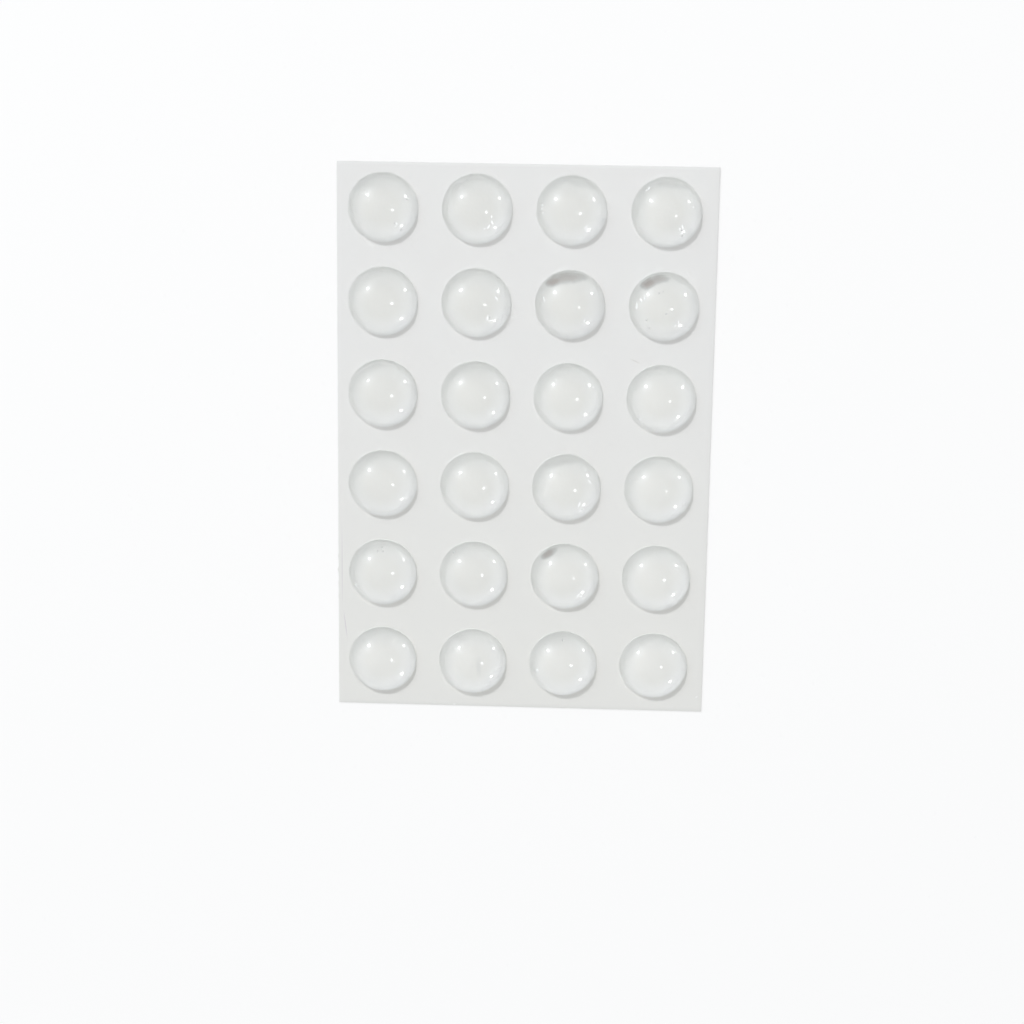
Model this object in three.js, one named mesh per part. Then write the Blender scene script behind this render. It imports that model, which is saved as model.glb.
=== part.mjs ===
import * as THREE from "three";

// A sheet of clear domed door bumpers, each held on a release liner by its own adhesive film.
// Millimetres. X runs across the columns, Y up the rows, and Z out of the liner through the domes.
// The origin is the middle of the liner's underside, which lies on the table.

const columns = 4;
const rows = 6;

// One bumper: a flat foot, a wall that leans in, a rounded shoulder and a crown that is part of a ball.
const bumperRadius = 4.75;
const bumperHeight = 2.9;
const wallHeight = 1; // where the wall's line would meet the crown
const wallLean = 0.4; // how far in the wall has come by that height
const shoulderRadius = 0.5;
const bumperSides = 32;
const shoulderSteps = 2;
const crownSteps = 5;

// The adhesive film under each bumper.
const adhesiveThickness = 0.1;
const adhesiveSetback = 0.1; // from the bumper's foot in to the film's rim
const adhesiveSides = 24;

// The grid, by the bare liner between one bumper's foot and the next.
const columnGap = 3.5;
const rowGap = 3.5;

// The release liner, by the bare strips from the outer bumpers' feet to its cut edges.
const linerThickness = 0.2;
const leftMargin = 1.6;
const rightMargin = 2.4;
const topMargin = 1.45;
const bottomMargin = 2.05;

// Worked out from the sizes above.
const columnPitch = 2 * bumperRadius + columnGap;
const rowPitch = 2 * bumperRadius + rowGap;
const linerWidth = leftMargin + (columns - 1) * columnPitch + 2 * bumperRadius + rightMargin;
const linerLength = topMargin + (rows - 1) * rowPitch + 2 * bumperRadius + bottomMargin;
const firstColumnX = leftMargin + bumperRadius - linerWidth / 2;
const firstRowY = linerLength / 2 - topMargin - bumperRadius;

// Silicone-coated paper: white, with a faint sheen.
function linerMaterial() {
  return new THREE.MeshStandardMaterial({ color: 0xe7e9e8, roughness: 0.45, metalness: 0 });
}

// Cast polyurethane: water clear and glossy.
function bumperMaterial() {
  return new THREE.MeshStandardMaterial({
    color: 0xf1f5f5,
    roughness: 0.06,
    metalness: 0,
    transparent: true,
    opacity: 0.35,
  });
}

// Acrylic adhesive: clear, with a slight warm haze.
function adhesiveMaterial() {
  return new THREE.MeshStandardMaterial({
    color: 0xefefe9,
    roughness: 0.3,
    metalness: 0,
    transparent: true,
    opacity: 0.5,
  });
}

// Points along an arc, from its first angle up to but not including its last.
function arcPoints(centre, radius, firstAngle, lastAngle, steps) {
  const points = [];
  for (let step = 0; step < steps; step += 1) {
    const angle = firstAngle + (lastAngle - firstAngle) * (step / steps);
    const spoke = new THREE.Vector2(Math.cos(angle), Math.sin(angle));
    points.push(centre.clone().addScaledVector(spoke, radius));
  }
  return points;
}

// Half of a bumper's section, from the middle of its foot out, up the wall and over the crown.
function bumperProfile() {
  const crownReach = bumperRadius - wallLean;
  const crownRise = bumperHeight - wallHeight;
  const crownRadius = (crownReach ** 2 + crownRise ** 2) / (2 * crownRise);
  const crownCentre = new THREE.Vector2(0, bumperHeight - crownRadius);

  // The shoulder's arc is tangent to both: its centre lies its own radius in from the wall's line,
  // where that line is as far in from the crown.
  const footEdge = new THREE.Vector2(bumperRadius, 0);
  const upWall = new THREE.Vector2(-wallLean, wallHeight).normalize();
  const outOfWall = new THREE.Vector2(upWall.y, -upWall.x);
  const besideFoot = footEdge.clone().addScaledVector(outOfWall, -shoulderRadius);
  const fromCrown = besideFoot.clone().sub(crownCentre);
  const along = fromCrown.dot(upWall);
  const offLineSquared = fromCrown.lengthSq() - along ** 2;
  const rise = Math.sqrt((crownRadius - shoulderRadius) ** 2 - offLineSquared) - along;
  const shoulderCentre = besideFoot.clone().addScaledVector(upWall, rise);
  const wallAngle = outOfWall.angle();
  const crownAngle = shoulderCentre.clone().sub(crownCentre).angle();

  return [
    new THREE.Vector2(0, 0),
    footEdge,
    ...arcPoints(shoulderCentre, shoulderRadius, wallAngle, crownAngle, shoulderSteps),
    ...arcPoints(crownCentre, crownRadius, crownAngle, Math.PI / 2, crownSteps),
    new THREE.Vector2(0, bumperHeight),
  ];
}

function linerGeometry() {
  const sheet = new THREE.BoxGeometry(linerWidth, linerLength, linerThickness);
  return sheet.translate(0, 0, linerThickness / 2);
}

// A lathe turns about Y, so the dome is stood up along Z with its foot at height 0.
function bumperGeometry() {
  return new THREE.LatheGeometry(bumperProfile(), bumperSides).rotateX(Math.PI / 2);
}

function adhesiveGeometry() {
  const radius = bumperRadius - adhesiveSetback;
  const film = new THREE.CylinderGeometry(radius, radius, adhesiveThickness, adhesiveSides);
  return film.rotateX(Math.PI / 2).translate(0, 0, adhesiveThickness / 2);
}

function namedMesh(name, geometry, material) {
  const mesh = new THREE.Mesh(geometry, material);
  mesh.name = name;
  return mesh;
}

// One place on the grid: the adhesive film on the liner, and the bumper on the film.
function bumperStation(row, column) {
  const place = `r${row + 1}_c${column + 1}`;
  const station = new THREE.Group();
  station.position.set(
    firstColumnX + column * columnPitch,
    firstRowY - row * rowPitch,
    linerThickness,
  );

  const adhesive = namedMesh(`adhesive_${place}`, adhesiveGeometry(), adhesiveMaterial());
  station.add(adhesive);

  const bumper = namedMesh(`bumper_${place}`, bumperGeometry(), bumperMaterial());
  bumper.position.z = adhesiveThickness;
  station.add(bumper);
  return station;
}

function bumperSheet() {
  const sheet = new THREE.Group();
  sheet.add(namedMesh("release_liner", linerGeometry(), linerMaterial()));
  for (let row = 0; row < rows; row += 1) {
    for (let column = 0; column < columns; column += 1) {
      sheet.add(bumperStation(row, column));
    }
  }
  return sheet;
}

export default bumperSheet();
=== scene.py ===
import math
import random

import bpy
from mathutils import Matrix, Vector, noise


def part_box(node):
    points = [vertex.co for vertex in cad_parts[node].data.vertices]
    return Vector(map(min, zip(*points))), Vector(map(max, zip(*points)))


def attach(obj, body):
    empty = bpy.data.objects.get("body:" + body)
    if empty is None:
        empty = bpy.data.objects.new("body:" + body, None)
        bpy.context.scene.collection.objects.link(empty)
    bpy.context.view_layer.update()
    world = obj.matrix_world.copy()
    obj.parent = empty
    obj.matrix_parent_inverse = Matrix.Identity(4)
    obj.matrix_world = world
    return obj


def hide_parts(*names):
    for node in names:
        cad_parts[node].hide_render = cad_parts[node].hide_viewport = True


# Clear domed door bumpers on their release liner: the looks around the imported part.
# Sizes below are millimetres, and mm turns them to metres. X runs across the columns, Y up the rows.

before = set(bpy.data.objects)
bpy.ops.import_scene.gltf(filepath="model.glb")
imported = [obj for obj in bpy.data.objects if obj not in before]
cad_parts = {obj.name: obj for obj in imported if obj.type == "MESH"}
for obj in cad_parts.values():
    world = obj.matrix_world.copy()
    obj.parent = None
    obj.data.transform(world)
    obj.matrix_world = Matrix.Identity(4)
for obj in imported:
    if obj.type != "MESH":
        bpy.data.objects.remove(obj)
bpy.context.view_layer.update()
mm = 0.001
rows = 6
columns = 4
random.seed(11)
print("frame loaded:", len(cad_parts), "nodes")


def deselectAll():
    if bpy.context.object and bpy.context.object.mode != "OBJECT":
        bpy.ops.object.mode_set(mode="OBJECT")
    bpy.ops.object.select_all(action="DESELECT")


def makeActive(piece):
    deselectAll()
    piece.select_set(True)
    bpy.context.view_layer.objects.active = piece


def applyPlace(piece):
    makeActive(piece)
    bpy.ops.object.transform_apply(location=True, rotation=True, scale=True)


def addModifier(piece, kind, **settings):
    makeActive(piece)
    modifier = piece.modifiers.new(kind.title(), kind)
    for name, value in settings.items():
        setattr(modifier, name, value)
    bpy.ops.object.modifier_apply(modifier=modifier.name)


def toLinear(hexColour):
    channels = [int(hexColour[i:i + 2], 16) / 255 for i in (0, 2, 4)]
    linear = [c / 12.92 if c <= 0.04045 else ((c + 0.055) / 1.055) ** 2.4 for c in channels]
    return (*linear, 1)


def addNode(tree, kind, settings={}, links={}):
    # settings are sockets by name or number, or the node's own options, and links are sockets to join
    node = tree.nodes.new(kind)
    for name, value in settings.items():
        if isinstance(name, int) or name in node.inputs:
            node.inputs[name].default_value = value
        else:
            setattr(node, name, value)
    for name, source in links.items():
        tree.links.new(source, node.inputs[name])
    return node


def newMaterial(name, settings):
    material = bpy.data.materials.new(name)
    material.use_nodes = True
    shader = material.node_tree.nodes["Principled BSDF"]
    for socket, value in settings.items():
        shader.inputs[socket].default_value = value
    return material, material.node_tree, shader


def perSize(size):
    # a noise texture's scale for marks of this size in millimetres
    return 1 / (size * mm)


# The paper that carries the bumpers. Its cut size comes from the frame.
liner = {
    "colour": "edeeed",
    "cloudColour": "ebeae9",  # where the fibres lie thinner
    "lowerShadeColour": "eaeae7",  # painted shade: the lower end is a little darker and warmer, as less light reaches it
    "shadeFade": (25, -39),  # where the painted shade starts, and the sheet's lower edge
    "cloudSize": 7,
    "grainSize": 0.35,
    "roughness": (0.4, 0.54),  # from the smoothest grain to the dullest
    "pitDepth": 0.01,
    "pitStrength": 0.25,
    "cell": 0.5,  # squares of the mesh
    "cutWander": 0.025,  # how far the cut edge wanders
    "wanders": 900,  # how often it does so, in a metre
    "wanderIn": 0.4,  # more in than out
    "edgeRound": 0.04,  # the cut crushes its corners
    "fraySharpness": 4,
    # frayed fibres on the left edge: height on the sheet, how far they stand out, their width
    "frays": [(-16.9, 0.12, 0.35), (-19.0, 0.16, 0.3), (-21.2, 0.2, 0.35), (-22.8, 0.14, 0.4)],
    "markFade": (1.2, 0.3),  # from a mark's edge to its full colour, as shares of its half sizes
    # faint marks, two of them painted shade and two painted highlights: middle, half length, half width,
    # turn in degrees, colour
    "marks": [
        # a faint dark line across the paper
        (15.35, 12.05, 0.8, 0.05, -24, "cfcdc6"),
        # painted shade: two greyish-pink strokes along the left cut edge
        (-25.75, -18.5, 6.5, 0.06, 90, "dcd9dc"),
        (-25.3, -27.2, 2.2, 0.06, 97, "d6cfd6"),
        # painted highlights: two near-white spots by the lower edge
        (25.5, -36.8, 0.22, 0.09, 35, "fafafa"),
        (-9.5, -38.85, 0.2, 0.1, 10, "fafafa"),
    ],
}


def makeLinerMaterial():
    # Bleached kraft paper, calendered and silicone coated: a cool white with a low sheen, a faint
    # cloudiness from its fibres and fine pits that soften the sheen.
    material, tree, shader = newMaterial("siliconeCoatedPaper", {"IOR": 1.45})
    place = addNode(tree, "ShaderNodeTexCoord").outputs["Object"]
    cloud = addNode(
        tree, "ShaderNodeTexNoise", {"Scale": perSize(liner["cloudSize"]), "Detail": 4}, {"Vector": place})
    colour = addNode(
        tree, "ShaderNodeMix",
        {"data_type": "RGBA", 6: toLinear(liner["colour"]), 7: toLinear(liner["cloudColour"])},
        {0: cloud.outputs["Fac"]}).outputs[2]
    height = addNode(tree, "ShaderNodeSeparateXYZ", links={0: place}).outputs["Y"]
    # painted shade: the paper turns a little darker and warmer towards its lower edge
    start, end = liner["shadeFade"]
    shadeFade = addNode(
        tree, "ShaderNodeMapRange",
        {"interpolation_type": "SMOOTHSTEP", "From Min": start * mm, "From Max": end * mm, "To Max": 1},
        {"Value": height})
    colour = addNode(
        tree, "ShaderNodeMix", {"data_type": "RGBA", 7: toLinear(liner["lowerShadeColour"])},
        {0: shadeFade.outputs[0], 6: colour}).outputs[2]
    edge, full = liner["markFade"]
    for x, y, halfLength, halfWidth, turn, markColour in liner["marks"]:
        near = addNode(
            tree, "ShaderNodeMapping",
            {"vector_type": "TEXTURE", "Location": (x * mm, y * mm, 0),
             "Rotation": (0, 0, math.radians(turn)), "Scale": (halfLength * mm, halfWidth * mm, 1)},
            {"Vector": place})
        away = addNode(tree, "ShaderNodeVectorMath", {"operation": "LENGTH"}, {0: near.outputs[0]})
        mark = addNode(
            tree, "ShaderNodeMapRange",
            {"interpolation_type": "SMOOTHSTEP", "From Min": edge, "From Max": full},
            {"Value": away.outputs["Value"]})
        colour = addNode(
            tree, "ShaderNodeMix", {"data_type": "RGBA", 7: toLinear(markColour)},
            {0: mark.outputs[0], 6: colour}).outputs[2]
    tree.links.new(colour, shader.inputs["Base Color"])
    grain = addNode(
        tree, "ShaderNodeTexNoise", {"Scale": perSize(liner["grainSize"]), "Detail": 3}, {"Vector": place})
    smooth, dull = liner["roughness"]
    gloss = addNode(
        tree, "ShaderNodeMapRange", {"To Min": smooth, "To Max": dull}, {"Value": grain.outputs["Fac"]})
    tree.links.new(gloss.outputs[0], shader.inputs["Roughness"])
    pits = addNode(
        tree, "ShaderNodeBump", {"Strength": liner["pitStrength"], "Distance": liner["pitDepth"] * mm},
        {"Height": grain.outputs["Fac"]})
    tree.links.new(pits.outputs[0], shader.inputs["Normal"])
    return material


def makeLiner(material):
    low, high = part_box("release_liner")
    size = high - low
    deselectAll()
    bpy.ops.mesh.primitive_grid_add(
        x_subdivisions=round(size.x / mm / liner["cell"]),
        y_subdivisions=round(size.y / mm / liner["cell"]),
        size=1, location=((low.x + high.x) / 2, (low.y + high.y) / 2, high.z))
    sheet = bpy.context.object
    sheet.name = "releaseLinerSheet"
    sheet.scale = (size.x, size.y, 1)
    applyPlace(sheet)
    nearEdge = 0.01 * mm
    wander = liner["cutWander"] * mm
    often = liner["wanders"]
    for vertex in sheet.data.vertices:
        place = vertex.co.copy()
        if place.x < low.x + nearEdge or place.x > high.x - nearEdge:
            drift = noise.noise(Vector((place.x, place.y * often, 0)))
            vertex.co.x += wander * (drift - liner["wanderIn"])
        if place.y < low.y + nearEdge or place.y > high.y - nearEdge:
            drift = noise.noise(Vector((place.x * often, place.y, 5)))
            vertex.co.y += wander * (drift - liner["wanderIn"])
        if place.x < low.x + nearEdge:
            for height, reach, width in liner["frays"]:
                away = (place.y / mm - height) / width
                vertex.co.x -= reach * mm * math.exp(-away * away * liner["fraySharpness"])
    addModifier(sheet, "SOLIDIFY", thickness=size.z, offset=-1)
    addModifier(
        sheet, "BEVEL", width=liner["edgeRound"] * mm, segments=2, limit_method="ANGLE",
        angle_limit=math.radians(60))
    bpy.ops.object.shade_smooth_by_angle(angle=math.radians(30))
    sheet.data.materials.append(material)
    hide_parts("release_liner")
    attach(sheet, "root")


# One clear bumper. Its foot radius, height and place come from the frame.
bumper = {
    "tint": "f8f8f8",
    "roughness": 0.12,  # spreads a lamp's reflection a little, as the soft skin does
    "wallHeight": 1.0,  # where the wall's line would meet the crown
    "wallLean": 0.4,
    "shoulderRadius": 0.5,
    "footSpread": 0.07,  # the drop wets out past its film
    "footRound": 0.12,  # its edge curls under
    "shoulderSteps": 10,
    "crownSteps": 20,
    "sides": 120,
    "sink": 0.08,  # the foot wets into the adhesive, so no air lies between them
    "waveSize": 3,  # the poured surface levels with slow waves
    "waveHeight": 0.0003,
    "crownDrift": 0.12,  # how far off centre a drop sets
}

# Tiny air bubbles in the resin, by row and column: across and up from the bumper's middle, height over
# its foot, and radius.
bubbles = {
    (1, 1): [(3.3, 1.2, 0.9, 0.13), (-2.6, -3.7, 0.5, 0.14), (2.5, -2.9, 0.9, 0.13),
             (1.7, -1.9, 1.4, 0.11)],
    (1, 4): [(2.0, -2.1, 1.2, 0.14), (2.2, -2.5, 1.1, 0.18), (2.1, -2.9, 0.9, 0.13)],
    (2, 2): [(1.9, -1.6, 1.4, 0.11), (2.4, -2.1, 1.2, 0.13)],
    (2, 4): [(-0.7, 1.9, 1.2, 0.12), (-0.2, 2.1, 1.2, 0.1), (0.3, -0.7, 1.4, 0.14), (-2.2, -1.6, 1.2, 0.13),
             (-1.8, -2.7, 0.8, 0.13)],
    (3, 4): [(-3.0, -2.6, 0.7, 0.13), (-2.7, -2.9, 0.6, 0.11)],
    (4, 3): [(2.2, -2.7, 0.9, 0.13)],
    (5, 1): [(-0.6, 3.1, 0.8, 0.14), (0.1, 3.1, 0.8, 0.13), (0, 3.6, 0.6, 0.11), (-3.5, -1.7, 0.6, 0.16)],
    (5, 2): [(-2.7, 3.2, 0.6, 0.16)],
    (6, 3): [(0, 3.5, 0.6, 0.14), (1.1, 0, 1.5, 0.13), (-2.1, -3.9, 0.5, 0.16)],
}


def bumperProfile(radius, height):
    # half a section, in millimetres, from the foot's edge up the wall and round over the crown
    reach = radius - bumper["wallLean"]
    rise = height - bumper["wallHeight"]
    crownRadius = (reach ** 2 + rise ** 2) / (2 * rise)
    crownCentre = Vector((0, height - crownRadius))
    shoulder = bumper["shoulderRadius"]
    upWall = Vector((-bumper["wallLean"], bumper["wallHeight"])).normalized()
    outOfWall = Vector((upWall.y, -upWall.x))
    beside = Vector((radius, 0)) - outOfWall * shoulder
    along = (beside - crownCentre).dot(upWall)
    offLine = (beside - crownCentre).length_squared - along ** 2
    shoulderCentre = beside + upWall * (math.sqrt((crownRadius - shoulder) ** 2 - offLine) - along)
    wallAngle = math.atan2(outOfWall.y, outOfWall.x)
    outOfCrown = shoulderCentre - crownCentre
    crownAngle = math.atan2(outOfCrown.y, outOfCrown.x)
    points = [Vector((radius - bumper["footRound"], 0)), Vector((radius, bumper["footRound"]))]
    for step in range(bumper["shoulderSteps"]):
        angle = wallAngle + (crownAngle - wallAngle) * step / bumper["shoulderSteps"]
        points.append(shoulderCentre + Vector((math.cos(angle), math.sin(angle))) * shoulder)
    for step in range(bumper["crownSteps"]):
        angle = crownAngle + (math.pi / 2 - crownAngle) * step / bumper["crownSteps"]
        points.append(crownCentre + Vector((math.cos(angle), math.sin(angle))) * crownRadius)
    points.append(Vector((0, height)))
    return points


# Painted glints: white flecks laid on some bumpers, standing in for the sparkles of the lamps.
paintedGlint = {
    "thickness": 0.035,
    "colour": "ffffff",
    "mottleColour": "fcfdfe",
    "mottleSize": 0.08,  # its fine mottle
    "roughness": 0.45,
}

# Where they lie, by row and column, as short strokes: across, up, length, width, turn in degrees.
flecks = {
    (1, 1): [(2.1, -2.0, 0.5, 0.2, 60), (1.9, -2.4, 0.3, 0.2, 0)],
    (1, 2): [(2.1, -0.8, 0.4, 0.2, 30), (2.2, -1.6, 0.65, 0.28, 60), (1.7, -2.2, 0.75, 0.26, 20),
             (1.1, -2.5, 0.4, 0.18, 0)],
    (1, 3): [(-4.0, 0.8, 0.4, 0.28, 60), (-4.05, 0.3, 0.28, 0.24, 0), (-3.9, -0.2, 0.3, 0.2, 80),
             (1.95, -2.0, 0.7, 0.16, 0), (2.05, -2.3, 0.7, 0.16, 8), (2.15, -2.6, 0.5, 0.16, 20)],
    (1, 4): [(-2.55, 3.3, 0.5, 0.26, 35), (-2.85, 3.05, 0.3, 0.22, 0), (2.15, -1.75, 0.75, 0.28, 50),
             (1.75, -2.1, 0.55, 0.18, 70), (2.1, -2.65, 0.4, 0.26, 0), (3.55, 0.9, 0.26, 0.22, 0)],
    (2, 2): [(1.7, -1.7, 0.85, 0.2, 35), (2.2, -2.1, 0.95, 0.18, -40), (2.9, 0.95, 0.75, 0.2, 20)],
    (2, 3): [(-3.6, 1.1, 0.4, 0.22, 15), (-3.5, 0.75, 0.4, 0.2, 10), (2.1, -1.9, 0.5, 0.22, 40)],
    (2, 4): [(-3.75, 0.35, 0.8, 0.22, 12), (-3.2, 1.1, 0.7, 0.28, 50), (-2.7, 1.4, 0.5, 0.2, 30),
             (-3.8, 0.05, 0.55, 0.15, 12), (2.0, -1.9, 0.8, 0.22, 45), (1.6, -2.3, 0.55, 0.18, 30)],
    (3, 3): [(3.5, 1.75, 0.28, 0.22, 0)],
    (3, 4): [(-3.0, -2.6, 0.4, 0.2, -50), (-2.7, -2.9, 0.3, 0.18, 0)],
    (4, 3): [(1.9, -1.9, 0.95, 0.2, 25), (2.1, -2.9, 0.34, 0.26, 0), (3.3, 1.3, 0.7, 0.18, 20)],
    (5, 1): [(-3.7, -1.7, 0.4, 0.26, 70)],
    (5, 3): [(2.0, -2.2, 0.9, 0.22, 12), (2.4, -2.35, 0.55, 0.2, -20)],
    (6, 3): [(-2.2, -4.0, 0.4, 0.2, -30), (-3.6, -0.6, 0.5, 0.4, 0)],
}


def addBubbles(dome, foot, spots):
    # each bubble is a small closed cavity, so its faces point into it
    for x, y, height, radius in spots:
        deselectAll()
        bpy.ops.mesh.primitive_ico_sphere_add(
            subdivisions=2, radius=radius * mm, location=foot + Vector((x, y, height)) * mm)
        bubble = bpy.context.object
        applyPlace(bubble)
        bpy.ops.object.mode_set(mode="EDIT")
        bpy.ops.mesh.select_all(action="SELECT")
        bpy.ops.mesh.flip_normals()
        bpy.ops.object.mode_set(mode="OBJECT")
        bpy.ops.object.shade_smooth()
        makeActive(dome)
        bubble.select_set(True)
        bpy.ops.object.join()


def makeFlecks(name, dome, foot, spots, material):
    # each is laid on the dome under its spot and sunk half its thickness
    bpy.context.view_layer.update()
    made = []
    for x, y, length, width, turn in spots:
        above = foot + Vector((x, y, 10)) * mm
        place, upright = dome.ray_cast(above, Vector((0, 0, -1)))[1:3]
        deselectAll()
        bpy.ops.mesh.primitive_ico_sphere_add(subdivisions=2, radius=1)
        fleck = bpy.context.object
        fleck.scale = (length / 2 * mm, width / 2 * mm, paintedGlint["thickness"] / 2 * mm)
        fleck.rotation_euler = (0, 0, math.radians(turn))
        applyPlace(fleck)
        fleck.rotation_euler = upright.to_track_quat("Z", "Y").to_euler()
        fleck.location = place
        applyPlace(fleck)
        made.append(fleck)
    makeActive(made[0])
    for fleck in made:
        fleck.select_set(True)
    if len(made) > 1:
        bpy.ops.object.join()
    piece = bpy.context.object
    piece.name = name
    bpy.ops.object.shade_smooth()
    piece.data.materials.append(material)
    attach(piece, "root")
    return piece


def makeDomePattern():
    # modelled once at the middle of the frame's floor: the section is drawn as a chain, then spun
    low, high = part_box("bumper_r1_c1")
    radius = (high.x - low.x) / 2 / mm + bumper["footSpread"]
    height = (high.z - low.z) / mm
    sink = Vector((0, bumper["sink"]))
    deselectAll()
    bpy.ops.mesh.primitive_plane_add(size=mm, location=(0, 0, 0))
    dome = bpy.context.object
    dome.name = "domePattern"
    bpy.ops.object.mode_set(mode="EDIT")
    bpy.ops.mesh.merge(type="CENTER")
    last = Vector((0, 0))
    for point in bumperProfile(radius, height):
        if point.y > 0:
            point = point + sink  # the foot alone goes down into the film
        move = (point - last) * mm
        bpy.ops.mesh.extrude_vertices_move(TRANSFORM_OT_translate={"value": (move.x, 0, move.y)})
        last = point
    bpy.ops.mesh.select_all(action="SELECT")
    bpy.ops.mesh.spin(steps=bumper["sides"], angle=2 * math.pi, center=(0, 0, 0), axis=(0, 0, 1))
    bpy.ops.mesh.select_all(action="SELECT")
    bpy.ops.mesh.remove_doubles(threshold=0.001 * mm)
    bpy.ops.mesh.normals_make_consistent(inside=False)
    bpy.ops.object.mode_set(mode="OBJECT")
    bpy.ops.object.shade_smooth_by_angle(angle=math.radians(40))
    return dome


# The acrylic film under each bumper, pressed flat on the liner.
adhesive = {
    "colour": "f0f0ec",
    "roughness": 0.3,
    "paintedRimLight": "fbfcfd",  # painted light: lighter near the rim, most of all on the side away from the window
    "rimReach": (1.8, 4.0),  # from the middle out, where that begins and where it is full
    "rimSide": (0.6, -0.8),  # across and up, which way that side lies
    "rimLeast": 0.2,  # its share on the window side
    "paintedWindowLight": "f3f4f2",  # painted light: the window's cool light on the film's window side
    # painted shade: the greys where air lies under the film and along every film's far side
    "faintShadeGrey": "d8d9d7",
    "airShadeGrey": "bfb8b4",
    "thinGap": 0.3,  # up to what amount the thin gap's grey holds
    "gapFray": 0.25,  # how ragged a gap's edge is, and how often in a millimetre
    "gapFrays": 1.6,
    "gapReach": 1.5,  # how far out a gap ends, as a share of its half sizes
    "rim": 4.8,
    "thickness": 0.095,
    "rings": 22,  # of the mesh, which carries the film's colours
    "sides": 96,
    "speckSize": 0.4,  # fine ripples in the film, which break the reflections into sparks
    "speckHeight": 0.02,
    "speckStrength": 0.5,
}

# Where air got under a film, by row and column, as soft ovals: middle, half length, half width, turn in
# degrees and strength. The grey over the air is painted shade.
airPocketsAndShade = {
    (2, 3): [(-2.0, 2.95, 0.9, 0.5, 18, 0.95), (-0.5, 3.4, 2.1, 0.65, 4, 0.6)],
    (2, 4): [(-1.9, 2.95, 0.9, 0.55, 30, 0.95), (-0.9, 3.4, 1.2, 0.5, 10, 0.6)],
    (5, 3): [(-2.1, 3.1, 0.9, 0.45, 35, 0.8)],
    # the three faint ones along the far side are painted shade alone
    (1, 3): [(1.0, 3.3, 1.9, 0.5, -12, 0.13)],
    (1, 4): [(0.5, 3.3, 2.0, 0.4, -5, 0.14)],
    (4, 3): [(-0.6, 3.3, 2.2, 0.5, 8, 0.16)],
    (6, 2): [(0.8, -0.6, 0.3, 1.1, 0, 0.12)],
}

# Painted shade: every film is a little darker along its far side, more on some than others.
thinShade = {"oval": (-0.3, 3.5, 3.2, 1.5, 6), "least": 0.02, "most": 0.07}


def makeFilmPattern():
    deselectAll()
    bpy.ops.mesh.primitive_circle_add(
        vertices=adhesive["sides"], radius=adhesive["rim"] * mm, fill_type="NGON",
        location=(0, 0, adhesive["thickness"] * mm))
    film = bpy.context.object
    film.name = "filmPattern"
    applyPlace(film)
    bpy.ops.object.mode_set(mode="EDIT")
    bpy.ops.mesh.select_all(action="SELECT")
    step = adhesive["rim"] * mm / (adhesive["rings"] + 1)
    for ring in range(adhesive["rings"]):
        bpy.ops.mesh.inset(thickness=step)
    bpy.ops.mesh.select_all(action="SELECT")
    bpy.ops.mesh.extrude_region_move(
        TRANSFORM_OT_translate={"value": (0, 0, -adhesive["thickness"] * mm)})
    bpy.ops.mesh.select_all(action="SELECT")
    bpy.ops.mesh.normals_make_consistent(inside=False)
    bpy.ops.object.mode_set(mode="OBJECT")
    bpy.ops.object.shade_smooth_by_angle(angle=math.radians(40))
    return film


def placeCopy(pattern, name, move):
    piece = pattern.copy()
    piece.data = pattern.data.copy()
    piece.name = name
    piece.data.name = name
    bpy.context.scene.collection.objects.link(piece)
    piece.data.transform(Matrix.Translation(move))
    return piece


def markFilm(film, place, gaps):
    # numbers at each vertex say how much painted shade the film takes where air lies under it or along its
    # far side, and how much it takes of the painted rim light and of the painted window light
    airAndShade = film.data.attributes.new("airAndShade", "FLOAT", "POINT")
    rimLightShare = film.data.attributes.new("rimLightShare", "FLOAT", "POINT")
    windowLightShare = film.data.attributes.new("windowLightShare", "FLOAT", "POINT")
    start, full = adhesive["rimReach"]
    least = adhesive["rimLeast"]
    for index, vertex in enumerate(film.data.vertices):
        x = (vertex.co.x - place.x) / mm
        y = (vertex.co.y - place.y) / mm
        amount = 0
        for middleX, middleY, halfLength, halfWidth, turn, strength in gaps:
            away = Matrix.Rotation(math.radians(-turn), 2) @ Vector((x - middleX, y - middleY))
            away = Vector((away.x / halfLength, away.y / halfWidth))
            ragged = adhesive["gapFray"] * noise.noise(Vector((x, y, 0)) * adhesive["gapFrays"])
            near = min(1, max(0, adhesive["gapReach"] - away.length + ragged))
            amount = max(amount, strength * near)
        airAndShade.data[index].value = amount
        # painted light: the rim's share grows towards the rim and is largest away from the window, the cool
        # share lies on the window side
        out = Vector((x, y))
        share = min(1, max(0, out.length - start) / (full - start))
        facing = (1 + out.dot(Vector(adhesive["rimSide"])) / max(out.length, start)) / 2
        rimLightShare.data[index].value = share * (least + (1 - least) * facing)
        windowLightShare.data[index].value = share * (1 - facing)


def makePolyurethane():
    # Two-part polyurethane, poured as a drop and left to level: water clear and glossy from its own
    # surface tension, with slow waves that stretch the lamps' reflections.
    material, tree, shader = newMaterial("pouredPolyurethane", {
        "Base Color": toLinear(bumper["tint"]), "Roughness": bumper["roughness"], "IOR": 1.49,
        "Transmission Weight": 1})
    place = addNode(tree, "ShaderNodeTexCoord").outputs["Object"]
    waves = addNode(
        tree, "ShaderNodeTexNoise", {"Scale": perSize(bumper["waveSize"]), "Detail": 1}, {"Vector": place})
    bump = addNode(
        tree, "ShaderNodeBump", {"Strength": 1, "Distance": bumper["waveHeight"] * mm},
        {"Height": waves.outputs["Fac"]})
    tree.links.new(bump.outputs[0], shader.inputs["Normal"])
    return material


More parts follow.
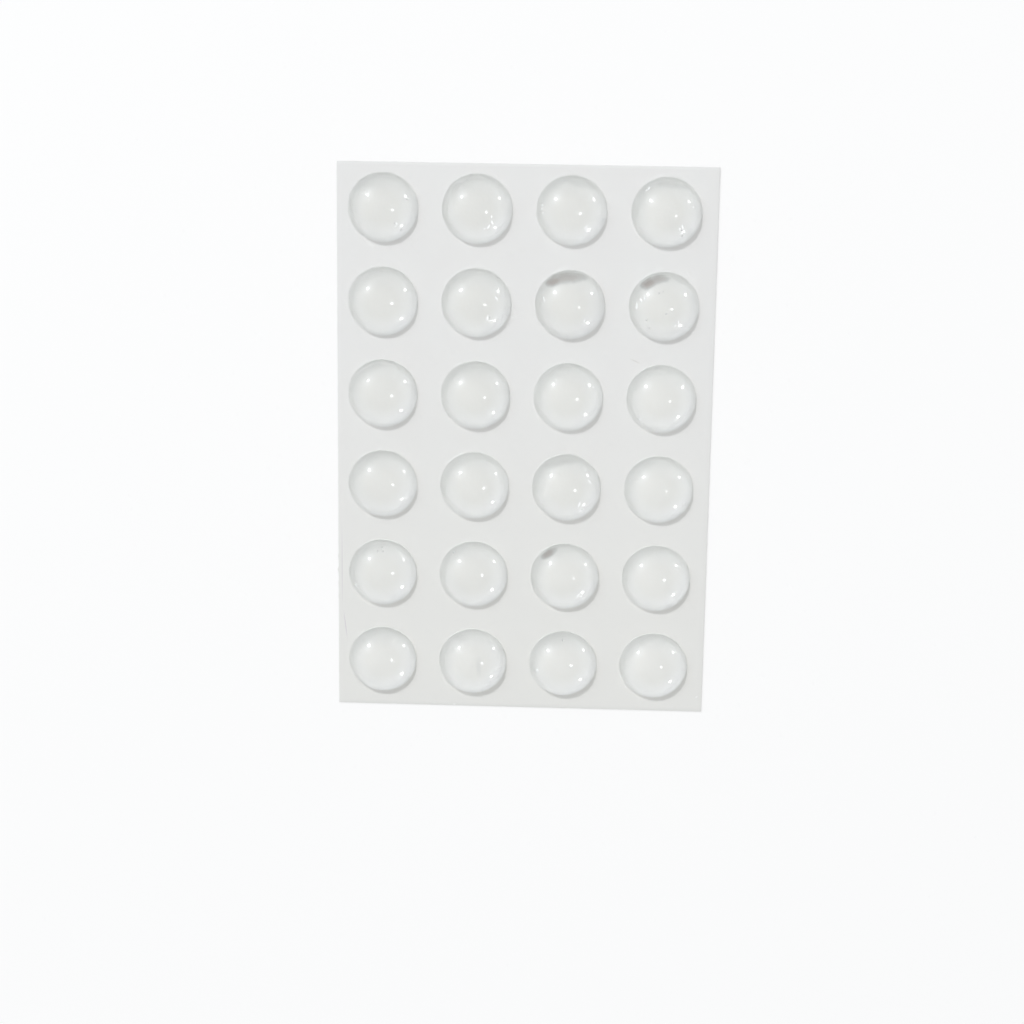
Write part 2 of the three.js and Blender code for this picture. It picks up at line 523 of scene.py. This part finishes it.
def makeGlintWhite():
    # Painted glint: a plain near-white with a fine mottle, standing in for the sparkles on the domes,
    # with so strong a reflection that a fleck shines near a highlight.
    material, tree, shader = newMaterial("paintedGlintWhite", {
        "Roughness": paintedGlint["roughness"], "IOR": 1.8, "Specular IOR Level": 1})
    place = addNode(tree, "ShaderNodeTexCoord").outputs["Object"]
    mottle = addNode(
        tree, "ShaderNodeTexNoise", {"Scale": perSize(paintedGlint["mottleSize"]), "Detail": 1},
        {"Vector": place})
    colour = addNode(
        tree, "ShaderNodeMix",
        {"data_type": "RGBA", 6: toLinear(paintedGlint["mottleColour"]), 7: toLinear(paintedGlint["colour"])},
        {0: mottle.outputs["Fac"]}).outputs[2]
    tree.links.new(colour, shader.inputs["Base Color"])
    return material


def makeAcrylicFilm():
    # Acrylic pressure-sensitive adhesive, coated as a film and pressed on the liner: it shows the
    # white paper under it, and fine ripples spark where a lamp comes through the dome.
    material, tree, shader = newMaterial("coatedAcrylicFilm", {
        "Roughness": adhesive["roughness"], "IOR": 1.5, "Specular IOR Level": 0.2})
    place = addNode(tree, "ShaderNodeTexCoord").outputs["Object"]
    air = addNode(tree, "ShaderNodeAttribute", {"attribute_name": "airAndShade"}).outputs["Fac"]
    limit = adhesive["thinGap"]
    thin = addNode(tree, "ShaderNodeMapRange", {"From Max": limit}, {"Value": air}).outputs[0]
    thick = addNode(tree, "ShaderNodeMapRange", {"From Min": limit}, {"Value": air}).outputs[0]
    # painted light: lighter towards the rim, most away from the window, and cooler on the window side
    rimLightShare = addNode(tree, "ShaderNodeAttribute", {"attribute_name": "rimLightShare"}).outputs["Fac"]
    colour = addNode(
        tree, "ShaderNodeMix",
        {"data_type": "RGBA", 6: toLinear(adhesive["colour"]), 7: toLinear(adhesive["paintedRimLight"])},
        {0: rimLightShare}).outputs[2]
    windowLightShare = addNode(tree, "ShaderNodeAttribute", {"attribute_name": "windowLightShare"}).outputs["Fac"]
    colour = addNode(
        tree, "ShaderNodeMix", {"data_type": "RGBA", 7: toLinear(adhesive["paintedWindowLight"])},
        {0: windowLightShare, 6: colour}).outputs[2]
    # painted shade: grey where air lies under the film and along every film's far side
    colour = addNode(
        tree, "ShaderNodeMix", {"data_type": "RGBA", 7: toLinear(adhesive["faintShadeGrey"])},
        {0: thin, 6: colour}).outputs[2]
    colour = addNode(
        tree, "ShaderNodeMix", {"data_type": "RGBA", 7: toLinear(adhesive["airShadeGrey"])},
        {0: thick, 6: colour}).outputs[2]
    tree.links.new(colour, shader.inputs["Base Color"])
    ripples = addNode(
        tree, "ShaderNodeTexNoise", {"Scale": perSize(adhesive["speckSize"]), "Detail": 2},
        {"Vector": place})
    bump = addNode(
        tree, "ShaderNodeBump",
        {"Strength": adhesive["speckStrength"], "Distance": adhesive["speckHeight"] * mm},
        {"Height": ripples.outputs["Fac"]})
    tree.links.new(bump.outputs[0], shader.inputs["Normal"])
    return material


def makeBumpers():
    polyurethane = makePolyurethane()
    acrylic = makeAcrylicFilm()
    glintWhite = makeGlintWhite()
    domePattern = makeDomePattern()
    domePattern.data.materials.append(polyurethane)
    filmPattern = makeFilmPattern()
    filmPattern.data.materials.append(acrylic)
    pieces = []
    fleckPieces = []
    for row in range(1, rows + 1):
        for column in range(1, columns + 1):
            low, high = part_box(f"bumper_r{row}_c{column}")
            foot = Vector(((low.x + high.x) / 2, (low.y + high.y) / 2, low.z))
            spot = f"R{row}C{column}"
            dome = placeCopy(domePattern, "dome" + spot, foot - Vector((0, 0, bumper["sink"] * mm)))
            driftX = random.uniform(-1, 1) * bumper["crownDrift"] * mm
            driftY = random.uniform(-1, 1) * bumper["crownDrift"] * mm
            for vertex in dome.data.vertices:
                share = max(0, vertex.co.z - foot.z) / (high.z - low.z)
                vertex.co.x += driftX * share
                vertex.co.y += driftY * share
            addBubbles(dome, foot, bubbles.get((row, column), []))
            # painted glints: white flecks on some domes
            if (row, column) in flecks:
                fleckPieces.append(
                    makeFlecks("glintFlecks" + spot, dome, foot, flecks[(row, column)], glintWhite))
            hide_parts(f"bumper_r{row}_c{column}")
            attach(dome, "root")
            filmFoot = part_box(f"adhesive_r{row}_c{column}")[0].z
            film = placeCopy(filmPattern, "adhesiveFilm" + spot, Vector((foot.x, foot.y, filmFoot)))
            # painted shade along the film's far side
            shade = (*thinShade["oval"], random.uniform(thinShade["least"], thinShade["most"]))
            markFilm(film, foot, airPocketsAndShade.get((row, column), []) + [shade])
            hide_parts(f"adhesive_r{row}_c{column}")
            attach(film, "root")
            pieces += [dome, film]
    for pattern in (domePattern, filmPattern):
        bpy.data.objects.remove(pattern)
    return pieces, fleckPieces


# The camera stands 300 mm over the sheet, a little past its top edge, and tilts back towards it.
camera = {
    "place": (9.97, 63.78, 303.37),
    "back": (0.03679, 0.23619, 0.97101),  # the way its back faces
    "right": (0.99906, 0.01371, -0.04119),  # the way across its picture
    "focalPixels": 2200,
    "imagePixels": 1024,
    "sensor": 36,
    "clip": (10, 10000),
}


def makeCamera():
    data = bpy.data.cameras.new("camera")
    data.sensor_width = camera["sensor"]
    data.lens = camera["focalPixels"] / camera["imagePixels"] * camera["sensor"]
    data.clip_start, data.clip_end = [distance * mm for distance in camera["clip"]]
    eye = bpy.data.objects.new("camera", data)
    bpy.context.scene.collection.objects.link(eye)
    back = Vector(camera["back"]).normalized()
    right = Vector(camera["right"])
    right = (right - back * right.dot(back)).normalized()
    up = back.cross(right)
    turned = Matrix((right, up, back)).transposed().to_4x4()
    turned.translation = Vector(camera["place"]) * mm
    eye.matrix_world = turned
    bpy.context.scene.camera = eye


# A soft white room with a cool window glow, a key lamp for the paper, a wide lamp for what shines
# through the domes, one for the flecks, and four small lamps mirrored as the bright spots on each dome.
studio = {
    "skyStrength": 0.665,
    "skyStops": [(0.0, "edf4ff"), (0.3, "f6f9fc"), (1.0, "fdfcfa")],  # horizon to zenith
    "glowColour": "eef6ff",
    "glowFrom": (-0.62, 0.47, 0.6),
    "glowTightness": 40,
    "glowStrength": 3,
    "lampDistance": 1600,
    # where each lamp stands, how wide it looks in degrees, how much light it gives, and whether it
    # lights the paper or the flecks, is mirrored in the domes, or shines through them on their films
    "lamps": {
        "keyLamp": ((-0.34, 0.61, 0.72), 6, 1.07, "paper"),
        "filmLamp": ((0.66, -0.50, 0.56), 70, 1.6, "films"),
        "fleckLamp": ((0.5, -0.6, 0.62), 30, 0.9, "flecks"),
        "keyGlint": ((-0.632, 0.46, 0.61), 5, 0.35, "mirror"),
        "sideGlint": ((0.83, 0.395, 0.386), 5, 0.26, "mirror"),
        "overheadGlint": ((0.404, -0.12, 0.905), 5, 0.2, "mirror"),
        "frontGlint": ((0.63, -0.705, 0.308), 6, 0.32, "mirror"),
    },
    "floorSize": 5000,
    "floorDrop": 0.02,  # under the liner, so their faces don't meet
    "floorColour": "bcbcbc",
    "floorWhite": 0.505,
}


def makeWorld():
    world = bpy.data.worlds.new("studio")
    bpy.context.scene.world = world
    world.use_nodes = True
    tree = world.node_tree
    background = tree.nodes["Background"]
    direction = addNode(tree, "ShaderNodeTexCoord").outputs["Generated"]
    height = addNode(tree, "ShaderNodeSeparateXYZ", links={0: direction}).outputs["Z"]
    sky = addNode(tree, "ShaderNodeValToRGB", links={0: height})
    ramp = sky.color_ramp
    while len(ramp.elements) < len(studio["skyStops"]):
        ramp.elements.new(0.5)
    for element, (position, level) in zip(ramp.elements, studio["skyStops"]):
        element.position = position
        element.color = toLinear(level)
    towards = addNode(
        tree, "ShaderNodeVectorMath",
        {"operation": "DOT_PRODUCT", 1: Vector(studio["glowFrom"]).normalized()}, {0: direction})
    facing = addNode(tree, "ShaderNodeMath", {"operation": "MAXIMUM", 1: 0}, {0: towards.outputs["Value"]})
    glow = addNode(
        tree, "ShaderNodeMath", {"operation": "POWER", 1: studio["glowTightness"]}, {0: facing.outputs[0]})
    tinted = addNode(
        tree, "ShaderNodeVectorMath",
        {"operation": "SCALE", 0: Vector(toLinear(studio["glowColour"])[:3]) * studio["glowStrength"]},
        {"Scale": glow.outputs[0]})
    light = addNode(
        tree, "ShaderNodeVectorMath", {"operation": "ADD"}, {0: sky.outputs[0], 1: tinted.outputs[0]})
    # the camera itself sees plain white past the floor's edge
    seen = addNode(tree, "ShaderNodeLightPath").outputs["Is Camera Ray"]
    backdrop = addNode(
        tree, "ShaderNodeMix", {"data_type": "RGBA", 7: (1, 1, 1, 1)}, {0: seen, 6: light.outputs[0]})
    strength = addNode(
        tree, "ShaderNodeMapRange", {"To Min": studio["skyStrength"], "To Max": 1}, {"Value": seen})
    tree.links.new(backdrop.outputs[2], background.inputs["Color"])
    tree.links.new(strength.outputs[0], background.inputs["Strength"])


def makeLamps(bumperPieces, fleckPieces):
    distance = studio["lampDistance"] * mm
    lit = {"films": bumperPieces, "flecks": fleckPieces}
    groups = {use: bpy.data.collections.new(use) for use in lit}
    for use, pieces in lit.items():
        for piece in pieces:
            groups[use].objects.link(piece)
    for name, (towards, width, light, use) in studio["lamps"].items():
        direction = Vector(towards).normalized()
        spread = math.tan(math.radians(width / 2))
        data = bpy.data.lights.new(name, "AREA")
        data.shape = "DISK"
        data.size = 2 * distance * spread
        data.energy = light * math.pi * distance ** 2 * (1 + spread ** 2)
        lamp = bpy.data.objects.new(name, data)
        bpy.context.scene.collection.objects.link(lamp)
        lamp.location = direction * distance
        lamp.rotation_euler = direction.to_track_quat("Z", "Y").to_euler()
        lamp.visible_camera = False
        lamp.visible_diffuse = use in ("paper", "flecks")
        lamp.visible_glossy = use == "mirror"
        lamp.visible_transmission = use == "films"  # a small lamp here would render as grain
        if use in groups:
            lamp.light_linking.receiver_collection = groups[use]


def makeFloor():
    # plain white card: its own colour takes the shadow, and a white glow is added for what looks at it
    material = bpy.data.materials.new("matteCard")
    material.use_nodes = True
    tree = material.node_tree
    tree.nodes.clear()
    path = addNode(tree, "ShaderNodeLightPath")
    seen = addNode(
        tree, "ShaderNodeMath", {"operation": "MAXIMUM"},
        {0: path.outputs["Is Camera Ray"], 1: path.outputs["Is Glossy Ray"]})
    seen = addNode(
        tree, "ShaderNodeMath", {"operation": "MAXIMUM"},
        {0: seen.outputs[0], 1: path.outputs["Is Transmission Ray"]})
    strength = addNode(
        tree, "ShaderNodeMath", {"operation": "MULTIPLY", 1: studio["floorWhite"]}, {0: seen.outputs[0]})
    card = addNode(tree, "ShaderNodeBsdfDiffuse", {"Color": toLinear(studio["floorColour"])})
    white = addNode(tree, "ShaderNodeEmission", {}, {"Strength": strength.outputs[0]})
    both = addNode(tree, "ShaderNodeAddShader", {}, {0: card.outputs[0], 1: white.outputs[0]})
    addNode(tree, "ShaderNodeOutputMaterial", {}, {"Surface": both.outputs[0]})
    deselectAll()
    bpy.ops.mesh.primitive_plane_add(
        size=studio["floorSize"] * mm, location=(0, 0, -studio["floorDrop"] * mm))
    floor = bpy.context.object
    floor.name = "floorCard"
    floor.data.materials.append(material)
    material.cycles.emission_sampling = "NONE"  # its glow lights nothing


makeLiner(makeLinerMaterial())
print("liner made")
bumperPieces, fleckPieces = makeBumpers()
print("bumpers and films made")
makeCamera()
makeWorld()
makeLamps(bumperPieces, fleckPieces)
makeFloor()
print("studio made")

scene = bpy.context.scene
scene.view_settings.view_transform = "Standard"
scene.cycles.use_light_tree = False  # gives the small lamps as many samples as the strong ones
scene.cycles.blur_glossy = 0  # light that comes through a dome stays sharp
scene.cycles.sample_clamp_indirect = 0
scene.cycles.max_bounces = 32  # light goes round inside the domes many times
scene.cycles.glossy_bounces = 32
scene.cycles.transmission_bounces = 32
scene.cycles.diffuse_bounces = 8
